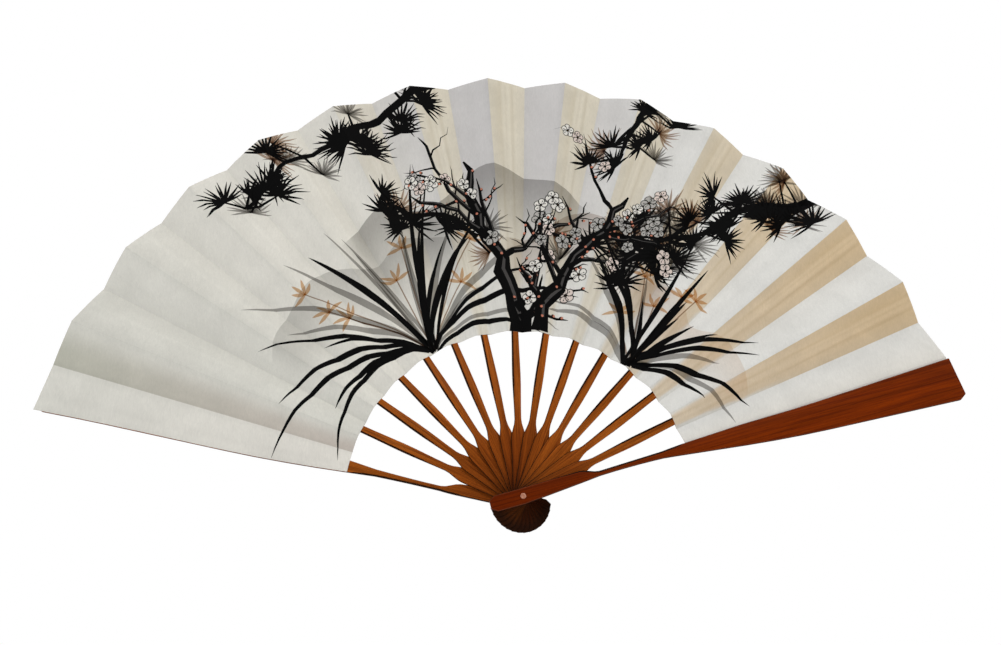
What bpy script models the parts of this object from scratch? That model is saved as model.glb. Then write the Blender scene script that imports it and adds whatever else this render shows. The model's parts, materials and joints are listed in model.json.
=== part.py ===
"""Folding fan: thirteen ribs and two guards on one rivet, under a pleated paper leaf.

Lengths are in metres. The open fan stands in the XZ plane, its front faces -Y, and the origin lies
on the rivet's axis, halfway through the stack of sticks. In a stick's own frame +X runs from the
rivet to the rim, -Y faces the viewer and +Z points to the fan's left, the way the fan closes.
"""

import math

import bmesh
import bpy
from mathutils import Matrix, Vector

MM = 0.001

# Driving dimensions of the whole fan
LEAF_RADIUS = 300.0 * MM
LEAF_INNER_RADIUS = 107.0 * MM
OPEN_SPAN = math.radians(151.7)
RIB_COUNT = 13
PLEAT_TILT = math.radians(20.0)

# The stack of sticks on the rivet
RIB_THICKNESS = 1.3 * MM
STICK_CLEARANCE = 0.2 * MM
GUARD_THICKNESS = 3.2 * MM
STICK_TAIL = 20.0 * MM
TAIL_CHAMFER = 3.5 * MM
SHOULDER_RADIUS = 37.0 * MM
NECK_RADIUS = 49.0 * MM

# A rib, from its head to its tip at the leaf's inner edge
RIB_HEAD_WIDTH = 9.0 * MM
RIB_NECK_WIDTH = 4.2 * MM
RIB_BELLY_WIDTH = 5.5 * MM
RIB_TIP_WIDTH = 4.9 * MM
RIB_TIP_THICKNESS = 0.8 * MM
TAIL_END_SHARE = 0.56
BELLY_PLACE_SHARE = 0.5

# A guard, from its head through its waist to the wedge that covers the leaf
GUARD_HEAD_WIDTH = 9.6 * MM
GUARD_WAIST_WIDTH = 3.0 * MM
GUARD_FLARE_WIDTH = 4.4 * MM
GUARD_FLARE_START = 90.0 * MM
GUARD_FLARE_LENGTH = 90.0 * MM
GUARD_EDGE_CHAMFER = 0.5 * MM
GUARD_CORNER_LENGTH = 5.0 * MM
GUARD_CORNER_WIDTH = 3.0 * MM
GUARD_RELIEF = 0.8 * MM
GUARD_RELIEF_RAMP = 10.0 * MM

# How far the middle of a guard bows toward its outer side, and from where to where it bends back
BACK_GUARD_BOW = 3.8 * MM
BACK_GUARD_BOW_PLACE = 49.0 * MM
BACK_GUARD_BEND_START = 150.0 * MM
BACK_GUARD_BEND_END = 290.0 * MM
BACK_GUARD_END_BOW = 1.0 * MM
FRONT_GUARD_BOW = -1.6 * MM
FRONT_GUARD_BOW_PLACE = 85.0 * MM
FRONT_GUARD_BEND_START = 90.0 * MM
FRONT_GUARD_BEND_END = 200.0 * MM
FRONT_GUARD_END_BOW = 1.3 * MM

# The rivet and the holes that it fills
RIVET_RADIUS = 1.1 * MM
RIVET_HEAD_RADIUS = 1.7 * MM
RIVET_HEAD_HEIGHT = 0.5 * MM
RIVET_RUNNING_GAP = 0.2 * MM
RIVET_SEAT_GAP = 0.1 * MM

# The paper leaf and the splints in its pockets
PAPER_THICKNESS = 0.15 * MM
CREASE_INSET = 0.1 * MM
GLUE_GAP = 0.1 * MM
SPLINT_THICKNESS = 0.45 * MM
SPLINT_ROOT_WIDTH = 4.0 * MM
SPLINT_TIP_WIDTH = 2.5 * MM
SPLINT_SETBACK = 5.0 * MM
POCKET_CLEARANCE = 0.1 * MM
POCKET_FLANK = 1.5 * MM
RIB_TIP_GAP = 0.3 * MM
END_PANEL_INSET = 0.3 * MM

# Fineness of the faceted surfaces
OUTLINE_STEPS = 4
WEDGE_STEPS = 10
PANEL_ROWS = 3
ROUND_SEGMENTS = 24
CUT_OVERRUN = 2.0 * MM

# Sizes that follow from the values above
STICK_COUNT = RIB_COUNT + 2
LAST_STICK = STICK_COUNT - 1
STEP = OPEN_SPAN / LAST_STICK
STICK_PITCH = RIB_THICKNESS + STICK_CLEARANCE
GUARD_INNER = (RIB_COUNT - 1) / 2 * STICK_PITCH + RIB_THICKNESS / 2 + STICK_CLEARANCE
GUARD_OUTER = GUARD_INNER + GUARD_THICKNESS
LEAF_THICKNESS = 2 * PAPER_THICKNESS
END_PANEL_OFFSET = GUARD_INNER + GUARD_RELIEF - GLUE_GAP - LEAF_THICKNESS / 2
HALF_PANEL = STEP / 4
HALF_PLEAT = math.atan(math.tan(HALF_PANEL) / math.cos(PLEAT_TILT))
GUARD_TIP = LEAF_RADIUS * math.cos(HALF_PANEL)
WEDGE_SLOPE = math.tan(HALF_PANEL)
GUARD_FLARE_SHARE = GUARD_FLARE_WIDTH / 2 / (GUARD_FLARE_START * WEDGE_SLOPE)
GUARD_CORNER_START = GUARD_TIP - GUARD_CORNER_LENGTH
POCKET_HALF_DEPTH = SPLINT_THICKNESS / 2 + POCKET_CLEARANCE
RIVET_HOLE_RADIUS = RIVET_RADIUS + RIVET_RUNNING_GAP


def clear_scene():
    for thing in list(bpy.data.objects):
        bpy.data.objects.remove(thing, do_unlink=True)


def new_collection(name):
    collection = bpy.data.collections.new(name)
    bpy.context.scene.collection.children.link(collection)
    return collection


def new_material(name, colour, roughness, metallic=0.0):
    material = bpy.data.materials.new(name)
    material.use_nodes = True
    shader = material.node_tree.nodes["Principled BSDF"]
    shader.inputs["Base Color"].default_value = (*colour, 1.0)
    shader.inputs["Roughness"].default_value = roughness
    shader.inputs["Metallic"].default_value = metallic
    return material


def ease(start, end, place):
    """Go from 0 at start to 1 at end, level at both."""
    share = min(max((place - start) / (end - start), 0.0), 1.0)
    return share * share * (3.0 - 2.0 * share)


def between(start, end, steps):
    """Places after start, up to and with end, evenly apart."""
    return [start + (end - start) * step / steps for step in range(1, steps + 1)]


def mix(first, second, share):
    return first + (second - first) * share


# Solids between two sheets of points

def outline_of(rows):
    """The points along the border of a sheet, once round."""
    right_side = [row[-1] for row in rows[1:]]
    left_side = [row[0] for row in rows[-2:0:-1]]
    return rows[0] + right_side + rows[-1][-2::-1] + left_side


def slab(name, front, back):
    """Fill the space between two sheets, each a list of rows that run across the piece."""
    shape = bmesh.new()
    sheets = []
    for sheet in (front, back):
        sheets.append([[shape.verts.new(point) for point in row] for row in sheet])
    for rows in sheets:
        for near, far in zip(rows, rows[1:]):
            for column in range(len(near) - 1):
                shape.faces.new((near[column], near[column + 1], far[column + 1], far[column]))
    front_edge = outline_of(sheets[0])
    back_edge = outline_of(sheets[1])
    for place, corner in enumerate(front_edge):
        after = (place + 1) % len(front_edge)
        shape.faces.new((corner, front_edge[after], back_edge[after], back_edge[place]))
    bmesh.ops.recalc_face_normals(shape, faces=shape.faces)
    mesh = bpy.data.meshes.new(name)
    shape.to_mesh(mesh)
    shape.free()
    return mesh


def carve(mesh, cutter):
    """Take the cutter's solid out of a mesh and give the result back as a new mesh."""
    body = bpy.data.objects.new(mesh.name, mesh)
    cutters.objects.link(body)
    cut = body.modifiers.new("cut", "BOOLEAN")
    cut.operation = "DIFFERENCE"
    cut.solver = "EXACT"
    cut.object = cutter
    bpy.context.view_layer.update()
    graph = bpy.context.evaluated_depsgraph_get()
    result = bpy.data.meshes.new_from_object(body.evaluated_get(graph))
    result.name = mesh.name
    bpy.data.objects.remove(body, do_unlink=True)
    return result


def keep_as_cutter(thing):
    thing.hide_render = True
    thing.display_type = "WIRE"
    for collection in list(thing.users_collection):
        collection.objects.unlink(thing)
    cutters.objects.link(thing)
    return thing


# Places of the sticks and creases

def azimuth(stick):
    """Angle of a stick above +X, from the back guard at the left to the front guard."""
    return math.pi / 2 + OPEN_SPAN / 2 - stick * STEP


def is_guard(stick):
    return stick in (0, LAST_STICK)


def leaf_depth(stick):
    """Place along Y of the apex from which a stick's part of the leaf spreads."""
    if stick == 0:
        return END_PANEL_OFFSET
    if stick == LAST_STICK:
        return -END_PANEL_OFFSET
    return (LAST_STICK / 2 - stick) * STICK_PITCH


def stick_matrix(stick):
    turn = Matrix.Rotation(-azimuth(stick), 4, "Y")
    return Matrix.Translation(Vector((0.0, leaf_depth(stick), 0.0))) @ turn


def pleat_matrix(stick):
    tilt = 0.0 if is_guard(stick) else PLEAT_TILT
    return stick_matrix(stick) @ Matrix.Rotation(tilt, 4, "X")


def half_angle(stick):
    return HALF_PANEL if is_guard(stick) else HALF_PLEAT


def crease_turn(stick, side):
    """Turn from a pleat's own axis to its crease: side is 1 for the left one, -1 for the right."""
    return Matrix.Rotation(-side * half_angle(stick), 4, "Y")


def crease_point(stick, side, radius):
    return pleat_matrix(stick) @ crease_turn(stick, side) @ Vector((radius, 0.0, 0.0))


# Ribs

def rib_half_width(place):
    belly_place = mix(NECK_RADIUS, LEAF_INNER_RADIUS, BELLY_PLACE_SHARE)
    head = RIB_HEAD_WIDTH / 2
    if place < -STICK_TAIL + TAIL_CHAMFER:
        share = (place + STICK_TAIL) / TAIL_CHAMFER
        return head * mix(TAIL_END_SHARE, 1.0, share)
    if place < NECK_RADIUS:
        return mix(head, RIB_NECK_WIDTH / 2, ease(SHOULDER_RADIUS, NECK_RADIUS, place))
    if place < belly_place:
        swell = ease(NECK_RADIUS, belly_place, place)
        return mix(RIB_NECK_WIDTH, RIB_BELLY_WIDTH, swell) / 2
    thin = ease(belly_place, LEAF_INNER_RADIUS, place)
    return mix(RIB_BELLY_WIDTH, RIB_TIP_WIDTH, thin) / 2


def rib_places():
    """Distances from the rivet where a rib's outline changes."""
    tip = LEAF_INNER_RADIUS - RIB_TIP_GAP / 2
    places = [-STICK_TAIL, -STICK_TAIL + TAIL_CHAMFER, SHOULDER_RADIUS]
    places += between(SHOULDER_RADIUS, NECK_RADIUS, OUTLINE_STEPS)
    places += between(NECK_RADIUS, tip, 2 * OUTLINE_STEPS)
    return places


def rib_mesh():
    """A flat head that narrows at the shoulder and twists to lie in the pleat's plane."""
    front = []
    back = []
    for place in rib_places():
        run = (place - NECK_RADIUS) / (LEAF_INNER_RADIUS - NECK_RADIUS)
        half_width = rib_half_width(place)
        half_depth = mix(RIB_THICKNESS, RIB_TIP_THICKNESS, max(run, 0.0)) / 2
        twist = PLEAT_TILT * ease(NECK_RADIUS, LEAF_INNER_RADIUS, place)
        turn = Matrix.Rotation(twist, 4, "X")
        for sheet, depth in ((front, -half_depth), (back, half_depth)):
            sides = (-half_width, half_width)
            sheet.append([turn @ Vector((place, depth, side)) for side in sides])
    return carve(slab("rib", front, back), rivet_hole)


# Guards

def guard_half_width(place):
    """Half-width from the neck to the end of the wedge, on each side of the guard's middle."""
    if place < GUARD_FLARE_START:
        run = (place - NECK_RADIUS) / (GUARD_FLARE_START - NECK_RADIUS)
        return mix(GUARD_WAIST_WIDTH, GUARD_FLARE_WIDTH, run * run) / 2
    rest = max(1.0 - (place - GUARD_FLARE_START) / GUARD_FLARE_LENGTH, 0.0)
    return place * WEDGE_SLOPE * mix(1.0, GUARD_FLARE_SHARE, rest ** 3)


def guard_bow(place, front):
    """How far a guard's middle stands off the straight line from the rivet, outward."""
    if front:
        bow = FRONT_GUARD_BOW * ease(0.0, FRONT_GUARD_BOW_PLACE, place)
        bend = ease(FRONT_GUARD_BEND_START, FRONT_GUARD_BEND_END, place)
        return mix(bow, FRONT_GUARD_END_BOW, bend)
    bow = BACK_GUARD_BOW * ease(0.0, BACK_GUARD_BOW_PLACE, place)
    return mix(bow, BACK_GUARD_END_BOW, ease(BACK_GUARD_BEND_START, BACK_GUARD_BEND_END, place))


def guard_head(place):
    """Half-width of the tail and the head up to its chamfered end."""
    share = min((place + STICK_TAIL) / TAIL_CHAMFER, 1.0)
    return GUARD_HEAD_WIDTH / 2 * mix(TAIL_END_SHARE, 1.0, share)


def guard_inner_side(place, front):
    """Place of the side that faces into the open fan; over the leaf it ends at the crease."""
    bow = guard_bow(place, front)
    if place < NECK_RADIUS:
        shoulder = ease(SHOULDER_RADIUS, NECK_RADIUS, place)
        return mix(guard_head(place), GUARD_WAIST_WIDTH / 2, shoulder) - bow
    side = guard_half_width(place) - bow
    if place < LEAF_INNER_RADIUS:
        return side
    return min(side, place * WEDGE_SLOPE)


def guard_outer_side(place, front):
    """Place of the other side, which tapers all the way from the rivet to the neck."""
    bow = guard_bow(place, front)
    if place < NECK_RADIUS:
        taper = min(max(place / NECK_RADIUS, 0.0), 1.0)
        return mix(guard_head(place), GUARD_WAIST_WIDTH / 2, taper) + bow
    return guard_half_width(place) + bow


def guard_corner(place):
    """How much the wedge's outer corner takes off the outer side."""
    return max((place - GUARD_CORNER_START) / GUARD_CORNER_LENGTH, 0.0) * GUARD_CORNER_WIDTH


def guard_inner_depth(place):
    """Depth of the inner face, set back from the neck on to leave room for the leaf."""
    ramp = min(max((place - NECK_RADIUS) / GUARD_RELIEF_RAMP, 0.0), 1.0)
    return GUARD_INNER + ramp * GUARD_RELIEF


def wedge_places():
    """Distances from the rivet along the wedge, after the leaf's inner edge."""
    return between(LEAF_INNER_RADIUS, GUARD_CORNER_START, WEDGE_STEPS) + [GUARD_TIP]


def guard_places():
    """Distances from the rivet where a guard's outline or its inner face changes."""
    relief_end = NECK_RADIUS + GUARD_RELIEF_RAMP
    places = [-STICK_TAIL, -STICK_TAIL + TAIL_CHAMFER, 0.0, SHOULDER_RADIUS]
    places += between(SHOULDER_RADIUS, NECK_RADIUS, OUTLINE_STEPS)
    places += [relief_end]
    places += between(relief_end, GUARD_FLARE_START, OUTLINE_STEPS)
    places += between(GUARD_FLARE_START, LEAF_INNER_RADIUS, OUTLINE_STEPS)
    return places + wedge_places()


def guard_mesh(name, front, inward, outward):
    """inward is the sign of Z toward the open fan, outward the sign of Y away from the ribs."""
    outer_rows = []
    inner_rows = []
    for place in guard_places():
        inner_edge = guard_inner_side(place, front)
        outer_edge = guard_corner(place) - guard_outer_side(place, front)
        sides = (
            outer_edge,
            outer_edge + GUARD_EDGE_CHAMFER,
            inner_edge - GUARD_EDGE_CHAMFER,
            inner_edge,
        )
        edge_depth = GUARD_OUTER - GUARD_EDGE_CHAMFER
        depths = (edge_depth, GUARD_OUTER, GUARD_OUTER, edge_depth)
        outer_rows.append(
            [Vector((place, outward * d, inward * side)) for d, side in zip(depths, sides)]
        )
        inner = outward * guard_inner_depth(place)
        inner_rows.append([Vector((place, inner, inward * side)) for side in sides])
    return carve(slab(name, outer_rows, inner_rows), rivet_hole)


# The leaf

def rib_panel_mesh():
    """A pleat with a pocket along its middle for the splint, in its own plane."""
    pocket_depth = POCKET_HALF_DEPTH + PAPER_THICKNESS
    front = []
    back = []
    for radius, splint_width in (
        (LEAF_INNER_RADIUS, SPLINT_ROOT_WIDTH),
        (LEAF_RADIUS, SPLINT_TIP_WIDTH),
    ):
        edge = HALF_PLEAT - CREASE_INSET / radius
        ridge = (splint_width / 2 + POCKET_CLEARANCE + PAPER_THICKNESS) / radius
        foot = ridge + POCKET_FLANK / radius
        angles = (-edge, -foot, -ridge, ridge, foot, edge)
        flat = LEAF_THICKNESS / 2
        depths = (flat, flat, pocket_depth, pocket_depth, flat, flat)
        for sheet, sign in ((front, -1.0), (back, 1.0)):
            row = []
            for angle, depth in zip(angles, depths):
                along = radius * math.cos(angle)
                row.append(Vector((along, sign * depth, radius * math.sin(angle))))
            sheet.append(row)
    slot = splint_solid("pocket", -CUT_OVERRUN, POCKET_CLEARANCE)
    cutter = keep_as_cutter(bpy.data.objects.new("pocket_cutter", slot))
    return carve(slab("rib_panel", front, back), cutter)


def splint_solid(name, root_setback, clearance):
    """The tapered strip of a rib inside the leaf, or with a clearance the pocket round it."""
    depth = SPLINT_THICKNESS / 2 + clearance
    root = LEAF_INNER_RADIUS + root_setback
    tip = LEAF_RADIUS - SPLINT_SETBACK + clearance
    front = []
    back = []
    for place, width in ((root, SPLINT_ROOT_WIDTH), (tip, SPLINT_TIP_WIDTH)):
        sides = (-width / 2 - clearance, width / 2 + clearance)
        front.append([Vector((place, -depth, side)) for side in sides])
        back.append([Vector((place, depth, side)) for side in sides])
    return slab(name, front, back)


def free_panel_mesh(stick):
    """The panel from one stick's right crease to the next stick's left one."""
    frame = (pleat_matrix(stick) @ crease_turn(stick, -1)).inverted()
    front = []
    back = []
    length = LEAF_RADIUS - LEAF_INNER_RADIUS
    for row in range(PANEL_ROWS):
        radius = LEAF_INNER_RADIUS + length * row / (PANEL_ROWS - 1)
        start = crease_point(stick, -1, radius)
        end = crease_point(stick + 1, 1, radius)
        across = (end - start).normalized()
        middle = (start + end) / 2
        apex = Vector((0.0, middle.y, 0.0))
        sagitta = radius - math.sqrt(radius ** 2 - ((end - start).length / 2) ** 2)
        outward = (middle - apex).normalized()
        normal = across.cross(outward).normalized() * LEAF_THICKNESS / 2
        points = (
            start + across * CREASE_INSET,
            middle + outward * sagitta,
            end - across * CREASE_INSET,
        )
        front.append([frame @ (point - normal) for point in points])
        back.append([frame @ (point + normal) for point in points])
    return slab("free_panel", front, back)


def end_panel_mesh(name, front, inward):
    """The leaf's last panel, glued to a guard's wedge; only the front one has its cut corner."""
    near_sheet = []
    far_sheet = []
    for place in [LEAF_INNER_RADIUS] + wedge_places():
        corner = guard_corner(place) if front else 0.0
        outer = END_PANEL_INSET + corner - guard_outer_side(place, front)
        sides = (outer, place * WEDGE_SLOPE - CREASE_INSET)
        for sheet, depth in ((near_sheet, -LEAF_THICKNESS / 2), (far_sheet, LEAF_THICKNESS / 2)):
            sheet.append([Vector((place, depth, inward * side)) for side in sides])
    return slab(name, near_sheet, far_sheet)


# The rivet

def rivet_object():
    """A turned pin with a low domed head outside each guard."""
    seat = GUARD_OUTER + RIVET_SEAT_GAP
    top = seat + RIVET_HEAD_HEIGHT
    half = [(0.0, top)]
    for step in range(1, OUTLINE_STEPS + 1):
        angle = math.pi / 2 * step / OUTLINE_STEPS
        radius = RIVET_HEAD_RADIUS * math.sin(angle)
        half.append((radius, seat + RIVET_HEAD_HEIGHT * math.cos(angle)))
    half.append((RIVET_RADIUS, seat))
    profile = half + [(radius, -height) for radius, height in reversed(half)]
    mesh = bpy.data.meshes.new("rivet")
    points = [(radius, 0.0, height) for radius, height in profile]
    edges = [(place, place + 1) for place in range(len(points) - 1)]
    mesh.from_pydata(points, edges, [])
    rivet = bpy.data.objects.new("rivet", mesh)
    turned = rivet.modifiers.new("turned", "SCREW")
    turned.axis = "Z"
    turned.steps = ROUND_SEGMENTS
    turned.render_steps = ROUND_SEGMENTS
    turned.use_merge_vertices = True
    turned.merge_threshold = MM / 100
    rivet.rotation_euler = (math.pi / 2, 0.0, 0.0)
    return rivet


def rivet_hole_cutter():
    bpy.ops.mesh.primitive_cylinder_add(
        vertices=ROUND_SEGMENTS,
        radius=RIVET_HOLE_RADIUS,
        depth=2 * (GUARD_OUTER + CUT_OVERRUN),
        rotation=(math.pi / 2, 0.0, 0.0),
    )
    cutter = bpy.context.object
    cutter.name = "rivet_hole_cutter"
    return keep_as_cutter(cutter)


# Assembly

def place_piece(name, mesh, material, parent):
    piece = bpy.data.objects.new(name, mesh)
    fan.objects.link(piece)
    piece.parent = parent
    if not mesh.materials:
        mesh.materials.append(material)
    return piece


def place_axis(name, parent=None, depth=0.0, rotation=(0.0, 0.0, 0.0)):
    """An empty on a hinge's axis, which carries what turns there."""
    axis = bpy.data.objects.new(name, None)
    axis.empty_display_size = RIB_HEAD_WIDTH
    fan.objects.link(axis)
    axis.parent = parent
    axis.location = (0.0, depth, 0.0)
    axis.rotation_euler = rotation
    return axis


def build_guard(stick, name, material, paper):
    """A guard with its end panel; gives back the frame in which its panel lies."""
    front = stick == LAST_STICK
    inward = 1.0 if front else -1.0
    outward = -1.0 if front else 1.0
    turn = (0.0, -azimuth(stick), 0.0)
    pivot = place_axis(f"{name}_axis", rotation=turn)
    place_piece(name, guard_mesh(name, front, inward, outward), material, pivot)
    seat = place_axis(f"{name}_leaf_seat", pivot, depth=leaf_depth(stick))
    panel_name = f"{name.split('_')[0]}_end_panel"
    place_piece(panel_name, end_panel_mesh(panel_name, front, inward), paper, seat)
    return seat


def build_free_panel(stick, seat, paper):
    """The panel to the right of a stick, hung on that stick's right crease."""
    turn = (0.0, half_angle(stick), 0.0)
    crease = place_axis(f"crease_axis_{stick:02d}", seat, rotation=turn)
    place_piece(f"free_panel_{stick:02d}", free_panel_mesh(stick), paper, crease)


def build_fan():
    guard_wood = new_material("guard_wood", (0.22, 0.055, 0.022), 0.4)
    rib_wood = new_material("rib_wood", (0.36, 0.13, 0.035), 0.45)
    splint_wood = new_material("splint_wood", (0.5, 0.3, 0.14), 0.6)
    horn = new_material("rivet_horn", (0.8, 0.62, 0.52), 0.35)
    paper = new_material("leaf_paper", (0.78, 0.76, 0.72), 0.85)

    back_seat = build_guard(0, "back_guard", guard_wood, paper)
    build_guard(LAST_STICK, "front_guard", guard_wood, paper)
    rivet = rivet_object()
    rivet.data.materials.append(horn)
    fan.objects.link(rivet)

    rib = rib_mesh()
    splint = splint_solid("splint", RIB_TIP_GAP / 2, 0.0)
    rib_panel = rib_panel_mesh()
    build_free_panel(0, back_seat, paper)
    for stick in range(1, LAST_STICK):
        turn = (0.0, -azimuth(stick), 0.0)
        pivot = place_axis(f"rib_axis_{stick:02d}", depth=leaf_depth(stick), rotation=turn)
        pleat = place_axis(f"pleat_axis_{stick:02d}", pivot, rotation=(PLEAT_TILT, 0.0, 0.0))
        place_piece(f"rib_{stick:02d}", rib, rib_wood, pivot)
        place_piece(f"splint_{stick:02d}", splint, splint_wood, pleat)
        place_piece(f"rib_panel_{stick:02d}", rib_panel, paper, pleat)
        build_free_panel(stick, pleat, paper)


clear_scene()
fan = new_collection("folding_fan")
cutters = new_collection("cutters")
rivet_hole = rivet_hole_cutter()
build_fan()
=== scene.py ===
"""Looks of the folding fan: a painted paper leaf, wooden sticks and guards, and a horn rivet.

Everything is in metres in the fan's own frame: +X right, +Z up, the viewer at -Y, and the rivet's
middle at the origin. The leaf is drawn flat, in the sheet's own plane, before it is folded: there
a point has an angle to the right of the middle and a distance from the rivet.
"""

import bisect
import json
import random
from math import asin, atan2, cos, degrees, exp, hypot, pi, radians, sin, sqrt, tan

import bmesh
import bpy
from mathutils import Matrix, Vector
from mathutils.geometry import delaunay_2d_cdt


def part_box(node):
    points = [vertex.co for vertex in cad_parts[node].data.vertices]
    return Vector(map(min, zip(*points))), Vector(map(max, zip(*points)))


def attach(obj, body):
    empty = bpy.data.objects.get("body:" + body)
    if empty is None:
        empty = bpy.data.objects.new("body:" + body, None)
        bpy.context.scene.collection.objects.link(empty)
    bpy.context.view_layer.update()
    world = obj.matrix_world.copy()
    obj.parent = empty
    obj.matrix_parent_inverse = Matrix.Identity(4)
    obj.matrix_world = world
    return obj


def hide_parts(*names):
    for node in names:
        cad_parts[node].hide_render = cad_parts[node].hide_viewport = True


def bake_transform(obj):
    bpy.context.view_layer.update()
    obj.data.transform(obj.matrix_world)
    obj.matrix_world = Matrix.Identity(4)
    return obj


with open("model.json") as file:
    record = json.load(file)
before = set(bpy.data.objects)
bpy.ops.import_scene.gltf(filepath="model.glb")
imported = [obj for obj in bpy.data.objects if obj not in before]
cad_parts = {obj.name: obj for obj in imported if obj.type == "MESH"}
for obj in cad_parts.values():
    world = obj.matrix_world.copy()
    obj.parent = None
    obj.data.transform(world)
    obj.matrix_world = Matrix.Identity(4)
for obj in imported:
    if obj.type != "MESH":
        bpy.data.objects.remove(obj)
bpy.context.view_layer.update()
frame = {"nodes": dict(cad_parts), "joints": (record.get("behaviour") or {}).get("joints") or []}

MM = 0.001
VIEWER = Vector((0.0, -1.0, 0.0))

# Camera, fitted to the photograph's view
CAMERA_PLACE = Vector((-59.0, -476.3, -57.0)) * MM
CAMERA_TURN = (radians(-19.62), radians(0.39), radians(5.62))
CAMERA_LENS = 28.0

# Shapes of the sticks
WELD = 0.002 * MM
FLAT_EDGE = radians(0.3)
SHARP_EDGE = radians(30.0)
STICK_ROUNDING = 0.2 * MM
GUARD_ROUNDING = 0.3 * MM
HOLE_REACH = 2.0 * MM
ROW_REACH = 0.1 * MM
TIP_MARGIN = 1.0 * MM
NECK_SHARE = 0.46

# Grain, wear and painted shade of the sticks: a pair gives start and end, and places along a stick are
# shares of INNER
GRAIN_SHIFT = Vector((0.37, 0.11, 0.23))
FIRST_GUARD_SEED = 20
# Painted shade on the side faces of the sticks
SIDE_TURN = (0.65, 0.8)
SIDE_SHADE = 0.75
CORNER_TURN = (0.3, 0.6)
CORNER_WEAR = 0.3
# A painted shade line along each stick's left edge, narrower at the head
SHADE_LINE_WIDTH = 1.1 * MM
LEAST_SHADE_LINE = 0.02 * MM
HEAD_SHADE_LINE = 0.3
RIB_SHADE_LINE = (0.52, 0.66, 2.0, 2.5)
GUARD_SHADE_LINE = (0.25, 0.4, 0.93, 1.02)
# Painted shade at the heads, less on sticks that lean and least on those leaning right, and painted
# shade on the tails below the rivet
HEAD_SHADE = (0.15, 0.75)
LEANING = (0.1, 0.5)
LEANING_LIGHT = 0.35
RIGHT_LEAN, RIGHT_SPREAD, RIGHT_LIGHT = 0.65, 0.25, 0.3
TAIL = (-0.06, 0.03)
TAIL_SHADE = 0.95
INWARD = 0.3

# Paper
PAPER = 0.15 * MM
RIDGE_FLANK = 4.0 * MM
RIDGE_CLOSE = 4.0 * MM
POCKET_GAP = 0.1 * MM
PANEL_BOW = 0.16 * MM
PAPER_WAVE = 0.05 * MM
WAVE_LENGTH = 7.0 * MM
CREASE_DARKENING = 0.9 * MM
CORNER_LENGTH = 5.0 * MM
CORNER_WIDTH = 3.0 * MM
GRID_ROWS = 34
GRID_COLUMNS = 6
ARC_POINTS = 10
END_MARGIN = 4.0 * MM

# Triangulation of the flat sheet: keep what lies inside, and weld points this close, in millimetres
INSIDE = 1
FLAT_WELD = 1e-4


# What the frame says about sticks, creases and radii

joints = {joint["name"]: joint for joint in frame["joints"]}
RIBS = sum(1 for name in joints if name.startswith("rib_"))
LAST = RIBS + 1


def joint_line(name):
    """Where a joint's axis starts and the way that it points from the rivet to the rim."""
    joint = joints[name]
    return Vector(joint["pos_m"]), -Vector(joint["axis"]).normalized()


def azimuth(direction):
    return atan2(direction.z, direction.x)


def direction_at(angle):
    return Vector((cos(angle), 0.0, sin(angle)))


def left_of(along):
    return Vector((-along.z, 0.0, along.x))


def mirrored(line):
    apex, direction = line
    return Vector((-apex.x, -apex.y, apex.z)), Vector((-direction.x, -direction.y, direction.z))


sticks = {k: joint_line(f"pleat_{k:02d}_tilt") for k in range(1, LAST)}
STEP = azimuth(sticks[1][1]) - azimuth(sticks[2][1])
right_creases = {k: joint_line(f"crease_{k:02d}_fold") for k in range(LAST)}
sticks[0] = (right_creases[0][0], direction_at(azimuth(sticks[1][1]) + STEP))
sticks[LAST] = mirrored(sticks[0])
HALF_END = sticks[0][1].angle(right_creases[0][1])


def left_crease(k):
    """The mirror image of a stick's right crease across the stick."""
    if k == LAST:
        return mirrored(right_creases[0])
    apex, along = sticks[k]
    crease = right_creases[k][1]
    return apex, 2.0 * along.dot(crease) * along - crease


def crease_lines():
    """The leaf's borders and creases from left to right, each an apex and a direction."""
    outer = direction_at(azimuth(sticks[0][1]) + HALF_END)
    lines = [(sticks[0][0], outer)]
    for k in range(LAST):
        lines.append(right_creases[k])
        lines.append(left_crease(k + 1))
    lines.append(mirrored(lines[0]))
    return lines


def reach(node, apex, direction):
    """Nearest and farthest distance from the rivet of a node's points."""
    places = [(v.co - apex).length for v in frame["nodes"][node].data.vertices]
    return min(places), max(places)


def border_side(k):
    """The way from a guard's middle line to the leaf's outer border."""
    return left_of(sticks[k][1]) * (1.0 if k == 0 else -1.0)


def border_table(k, node):
    """Where the CAD leaf's outer border runs: distances along a guard and aside from it."""
    apex, along = sticks[k]
    aside = border_side(k)
    rows = {}
    for vertex in frame["nodes"][node].data.vertices:
        place = vertex.co - apex
        key = round(place.dot(along), 5)
        rows[key] = max(rows.get(key, -1.0), place.dot(aside))
    return sorted(rows.items())


creases = crease_lines()
INNER, OUTER = (round(value, 5) for value in reach("rib_panel_07", *sticks[7]))
SPLINT_START, SPLINT_END = (round(value, 5) for value in reach("splint_07", *sticks[7]))
SPLINT_MIDDLE = (SPLINT_START + SPLINT_END) / 2.0
NECK = NECK_SHARE * INNER
borders = {0: border_table(0, "back_end_panel"), LAST: border_table(LAST, "front_end_panel")[:-1]}


def border_aside(k, place):
    """How far the outer border stands off a guard's middle line at a distance from the rivet."""
    table = borders[k]
    for (near, low), (far, high) in zip(table, table[1:]):
        if place <= far or far == table[-1][0]:
            return low + (high - low) * (place - near) / (far - near)


def border_point(index, radius):
    """Where a crease or an outer border lies at a distance from the rivet."""
    apex, direction = creases[index]
    if 0 < index < len(creases) - 1:
        return apex + direction * radius
    k = 0 if index == 0 else LAST
    aside = border_aside(k, radius)
    return apex + sticks[k][1] * sqrt(radius ** 2 - aside ** 2) + border_side(k) * aside


# Stick and pleat frames

def frame_matrix(apex, along, left):
    turn = Matrix((along, left.cross(along), left)).transposed()
    return Matrix.Translation(apex) @ turn.to_4x4()


def stick_matrix(k):
    apex, along = sticks[k]
    return frame_matrix(apex, along, left_of(along))


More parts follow.
